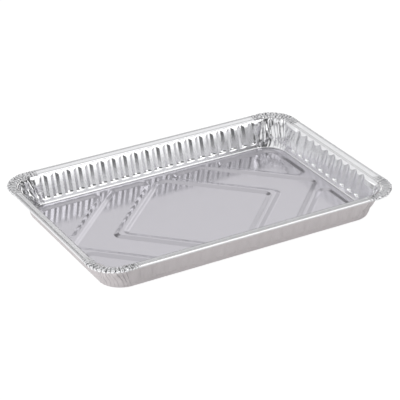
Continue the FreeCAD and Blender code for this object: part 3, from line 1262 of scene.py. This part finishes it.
@dataclass(frozen=True)
class FoilFinish:
    """Rolled aluminium foil: bare metal drawn between rollers.

    The lines that rollers leave are well under 0.1 mm apart. They are drawn 0.5 mm apart,
    because finer ones are lost at the size of the picture. A share of the foil is hazy, so
    that bright mirrored edges get a soft halo. Foil that folds over itself gets a darker
    colour, painted shade for folds that mirror mostly other foil.
    """

    name: str
    colour: str
    roughness: float
    line_height_mm: float
    dimple_height_mm: float
    haze: float
    haze_roughness: float = 0.5
    # Painted shade: the darker colour given to foil in its folds.
    fold_shade_colour: str = "4C4C50"
    line_spacing_mm: float = 0.5
    line_stretch: float = 0.03
    dimple_size_mm: float = 1.6
    patches_per_metre: float = 60.0
    patch_contrast: tuple[float, float] = (0.3, 0.7)
    uneven_gloss: tuple[float, float] = (0.85, 1.15)

    def material(self) -> bpy.types.Material:
        """Builds the material: bare metal with rolling lines, dimples and uneven gloss.

        Returns:
            The material.
        """
        # The colour mixer numbers its two colours and its result so.
        first, second, result = 6, 7, 2
        from_value, to_value = self.patch_contrast
        least, most = (self.roughness * share for share in self.uneven_gloss)
        material = bpy.data.materials.new(self.name)
        material.use_nodes = True
        tree = material.node_tree
        tree.nodes.clear()
        place = add(tree, "ShaderNodeTexCoord")
        along = add(tree, "ShaderNodeMapping", {
            "Vector": place.outputs["Object"], "Scale": (self.line_stretch, 1.0, 1.0)})
        lines = add(tree, "ShaderNodeTexNoise", {
            "Vector": along, "Scale": 1 / (self.line_spacing_mm * MM), "Detail": 3.0})
        dimples = add(tree, "ShaderNodeTexNoise", {
            "Vector": place.outputs["Object"], "Scale": 1 / (self.dimple_size_mm * MM),
            "Detail": 2.0})
        patches = add(tree, "ShaderNodeTexNoise", {
            "Vector": place.outputs["Object"], "Scale": self.patches_per_metre, "Detail": 3.0})
        rough = add(tree, "ShaderNodeMapRange", {
            "Value": patches.outputs["Fac"], "From Min": from_value, "From Max": to_value,
            "To Min": least, "To Max": most})
        rolled = add(tree, "ShaderNodeBump", {
            "Height": lines.outputs["Fac"], "Distance": self.line_height_mm * MM,
            "Strength": 1.0})
        bump = add(tree, "ShaderNodeBump", {
            "Height": dimples.outputs["Fac"], "Distance": self.dimple_height_mm * MM,
            "Strength": 1.0, "Normal": rolled})
        # Painted shade: the colour is mixed toward the darker fold colour where the folds are
        # marked.
        fold_shade = add(tree, "ShaderNodeAttribute", attribute_name="fold_shade")
        bare = add(tree, "ShaderNodeMix", {
            0: fold_shade.outputs["Fac"], first: linear(self.colour),
            second: linear(self.fold_shade_colour)}, data_type="RGBA")
        shader = add(tree, "ShaderNodeBsdfPrincipled", {
            "Base Color": bare.outputs[result], "Metallic": 1.0, "Roughness": rough,
            "Normal": bump})
        hazy = add(tree, "ShaderNodeBsdfPrincipled", {
            "Base Color": bare.outputs[result], "Metallic": 1.0,
            "Roughness": self.haze_roughness, "Normal": bump})
        both = add(tree, "ShaderNodeMixShader", {0: self.haze, 1: shader, 2: hazy})
        add(tree, "ShaderNodeOutputMaterial", {"Surface": both})
        return material


@dataclass(frozen=True)
class SoftBox:
    """A soft-edged panel of light in the surroundings.

    Its turn, half width, lowest and highest edge and the softness of its edges are in degrees.
    Turn 0 is the +Y direction and 90 is +X.
    """

    name: str
    turn: float
    half_width: float
    low: float
    high: float
    light: float
    edge: float = 6.0

    def glow(self, tree: Any, turn: Any, climb: Any) -> Any:
        """Adds the panel's light to the world's tree.

        Args:
            tree: The world's node tree.
            turn: The node that gives the direction's turn from +Y in radians.
            climb: The node that gives the direction's elevation in radians.

        Returns:
            A node that gives the panel's light in that direction.
        """
        apart = add(tree, "ShaderNodeMath", {0: turn, 1: math.radians(self.turn)},
                    operation="SUBTRACT")
        wrapped = add(tree, "ShaderNodeMath", {0: apart, 1: -math.pi, 2: math.pi},
                      operation="WRAP")
        aside = add(tree, "ShaderNodeMath", {0: wrapped}, operation="ABSOLUTE")
        glow: Any = self.light
        for value, start, end in (
            (aside, self.half_width + self.edge / 2, self.half_width - self.edge / 2),
            (climb, self.low - self.edge / 2, self.low + self.edge / 2),
            (climb, self.high + self.edge / 2, self.high - self.edge / 2),
        ):
            window = add(tree, "ShaderNodeMapRange", {
                "Value": value, "From Min": math.radians(start), "From Max": math.radians(end),
            }, interpolation_type="SMOOTHSTEP")
            glow = add(tree, "ShaderNodeMath", {0: glow, 1: window}, operation="MULTIPLY",
                       label=self.name)
        return glow


@dataclass(frozen=True)
class PaperTable:
    """White paper under the tray, which fades to white in the camera and in the foil.

    The glow that the foil mirrors is painted lighter and darker: a painted lit side along X,
    `lit_side`, and a painted shadow by the tray's foot along Y, `shaded_foot`, each as a start,
    an end and the glow at either.
    """

    half_size: float = 6.0
    colour: str = "EDEDED"
    glow: float = 1.18
    camera_share: float = 0.8
    lit_side: tuple[float, float, float, float] = (-0.165, -0.125, 1.03, 0.37)
    shaded_foot: tuple[float, float, float, float] = (-0.13, -0.095, 1.14, 0.74)

    @staticmethod
    def fade(tree: Any, axis: Any, span: tuple[float, float, float, float]) -> Any:
        """Adds a fade from one glow to another along an axis of the table.

        Args:
            tree: The paper's node tree.
            axis: The socket that gives the place along the axis in metres.
            span: Where the fade starts and ends, and the glow at either.

        Returns:
            The node that gives the glow.
        """
        start, end, before, after = span
        return add(tree, "ShaderNodeMapRange", {
            "Value": axis, "From Min": start, "From Max": end, "To Min": before,
            "To Max": after})

    def material(self) -> bpy.types.Material:
        """Builds the paper, part diffuse and part glowing.

        Returns:
            The material.
        """
        # Plain matte white paper: it gives the tray a white ground with a faint contact
        # shadow, and white reflections low in the outer walls, with a painted lit side and a
        # painted shadow in them.
        material = bpy.data.materials.new("matte white paper")
        material.use_nodes = True
        tree = material.node_tree
        tree.nodes.clear()
        path = add(tree, "ShaderNodeLightPath")
        seen = add(tree, "ShaderNodeMath", {
            0: path.outputs["Is Camera Ray"], 1: path.outputs["Is Transmission Ray"]},
            operation="MAXIMUM")
        place = add(tree, "ShaderNodeTexCoord")
        axes = add(tree, "ShaderNodeSeparateXYZ", {0: place.outputs["Object"]})
        # Painted light and shadow: the glow that glossy rays see is brighter on the left and
        # darker near the tray's foot.
        lit_side = self.fade(tree, axes.outputs["X"], self.lit_side)
        shaded_foot = self.fade(tree, axes.outputs["Y"], self.shaded_foot)
        lit = add(tree, "ShaderNodeMath", {0: lit_side, 1: shaded_foot}, operation="MULTIPLY")
        mirrored = add(tree, "ShaderNodeMath", {0: path.outputs["Is Glossy Ray"], 1: lit},
                       operation="MULTIPLY")
        share = add(tree, "ShaderNodeMath", {0: seen, 1: self.camera_share},
                    operation="MULTIPLY")
        white_share = add(tree, "ShaderNodeMath", {0: share, 1: mirrored}, operation="MAXIMUM")
        paper = add(tree, "ShaderNodeBsdfDiffuse", {"Color": linear(self.colour)})
        white = add(tree, "ShaderNodeEmission", {
            "Color": linear("FFFFFF"), "Strength": self.glow})
        mixed = add(tree, "ShaderNodeMixShader", {0: white_share, 1: paper, 2: white})
        add(tree, "ShaderNodeOutputMaterial", {"Surface": mixed})
        return material

    def build(self) -> None:
        size = self.half_size
        corners = [(-size, -size, 0), (size, -size, 0), (size, size, 0), (-size, size, 0)]
        mesh = bpy.data.meshes.new("table")
        mesh.from_pydata(corners, [], [(0, 1, 2, 3)])
        table = bpy.data.objects.new("table", mesh)
        bpy.context.scene.collection.objects.link(table)
        mesh.materials.append(self.material())


@dataclass(frozen=True)
class Studio:
    """Pale table, soft boxes in plain surroundings, and the photograph's camera."""

    focal_mm: float = 155.5
    sensor_mm: float = 36.0
    sight_m: float = 20.0
    distance_mm: float = 1706.0
    yaw: float = 29.13
    pitch: float = 27.37
    roll: float = 0.85
    target_mm: tuple[float, float, float] = (13.4, 21.9, 1.6)
    dome_light: float = 0.07
    boxes: tuple[SoftBox, ...] = (
        SoftBox("strip opposite the camera", 31.0, 14.0, 24.0, 44.0, 0.88, 4.0),
        SoftBox("low panel opposite the camera", 30.0, 12.0, 15.5, 23.0, 0.56, 2.5),
        SoftBox("low panel behind the tray", 0.0, 20.0, 2.0, 24.0, 0.62, 5.0),
        SoftBox("right panel", 67.0, 25.0, 8.0, 46.0, 0.66, 8.0),
        SoftBox("far left panel", -16.0, 16.0, 30.0, 56.0, 0.72, 7.0),
        SoftBox("low panel far left", -40.0, 16.0, 2.0, 30.0, 0.8, 8.0),
        SoftBox("left panel", 264.0, 50.0, 5.0, 60.0, 0.86, 12.0),
        SoftBox("panel behind the camera", 152.0, 15.0, -4.0, 62.0, 1.42, 8.0),
        SoftBox("high strip opposite the camera", 20.0, 26.0, 44.0, 66.0, 0.22, 6.0),
        SoftBox("upper dome", 0.0, 181.0, 48.0, 95.0, 0.46, 10.0),
    )

    def camera(self) -> None:
        """Places the camera as the photograph was taken."""
        yaw, pitch, roll = (math.radians(angle) for angle in (self.yaw, self.pitch, self.roll))
        ahead = Vector((math.sin(yaw) * math.cos(pitch), math.cos(yaw) * math.cos(pitch),
                        -math.sin(pitch)))
        level = Vector((math.cos(yaw), -math.sin(yaw), 0.0))
        down = ahead.cross(level)
        right = level * math.cos(roll) + down * math.sin(roll)
        below = down * math.cos(roll) - level * math.sin(roll)
        data = bpy.data.cameras.new("camera")
        data.lens = self.focal_mm
        data.sensor_width = self.sensor_mm
        data.clip_end = self.sight_m
        camera = bpy.data.objects.new("camera", data)
        bpy.context.scene.collection.objects.link(camera)
        place = (Vector(self.target_mm) - ahead * self.distance_mm) * MM
        matrix = Matrix((right, -below, -ahead)).transposed().to_4x4()
        matrix.translation = place
        camera.matrix_world = matrix
        bpy.context.scene.camera = camera

    def world(self) -> None:
        """Sets plain surroundings: white to the camera, soft boxes on a dim dome for the foil."""
        paper_white = linear("FFFFFF")
        world = bpy.data.worlds.new("studio")
        bpy.context.scene.world = world
        world.use_nodes = True
        tree = world.node_tree
        tree.nodes.clear()
        place = add(tree, "ShaderNodeTexCoord")
        axes = add(tree, "ShaderNodeSeparateXYZ", {0: place.outputs["Generated"]})
        turn = add(tree, "ShaderNodeMath", {0: axes.outputs["X"], 1: axes.outputs["Y"]},
                   operation="ARCTAN2")
        climb = add(tree, "ShaderNodeMath", {0: axes.outputs["Z"]}, operation="ARCSINE")
        total: Any = self.dome_light
        for box in self.boxes:
            total = add(tree, "ShaderNodeMath", {0: total, 1: box.glow(tree, turn, climb)},
                        operation="ADD")
        path = add(tree, "ShaderNodeLightPath")
        surroundings = add(tree, "ShaderNodeBackground", {
            "Color": paper_white, "Strength": total})
        white = add(tree, "ShaderNodeBackground", {"Color": paper_white, "Strength": 1.0})
        mixed = add(tree, "ShaderNodeMixShader", {
            0: path.outputs["Is Camera Ray"], 1: surroundings, 2: white})
        add(tree, "ShaderNodeOutputWorld", {"Surface": mixed})

    def build(self) -> None:
        """Builds the whole studio."""
        view = bpy.context.scene.view_settings
        view.view_transform = "Standard"
        self.camera()
        PaperTable().build()
        self.world()


def main() -> None:
    """Builds the tray's pieces in order, then the studio."""
    logging.basicConfig(level=logging.INFO)
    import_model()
    sheet = Sheet()
    # Foil with its bright side up: crisp highlights and dark mirrored edges on walls and rim.
    bright = FoilFinish("bright rolled aluminium foil", "F4F4F6", 0.15, 0.003, 0.01, haze=0.12)
    # The floor is the same foil with the same mirror images, but its greyer colour is painted
    # shade, under a soft haze.
    satin_with_painted_shade = FoilFinish("satin pressed aluminium foil", "D6D4DA", 0.13, 0.003, 0.008, haze=0.35)
    # Foil's other side is matte: an even pale sheen outside, with no mirror image in it, and a
    # lighter painted shade in its folds.
    matte = FoilFinish("matte rolled aluminium foil", "E2DDDE", 0.38, 0.006, 0.02, haze=0.5,
                       haze_roughness=0.65, fold_shade_colour="AAA7A9")
    forming = FoilForming()
    inside, under = bright.material(), matte.material()
    wall, edge = FlutedWall(sheet, inside, under).build(forming)
    floor = EmbossedFloor(sheet, satin_with_painted_shade.material(), under).build(forming, edge)
    rim = RolledRim(sheet, inside, inside).build(forming)
    LOG.info("pieces: %s, %s, %s", wall.name, floor.name, rim.name)
    Studio().build()


if __name__ == "__main__":
    main()
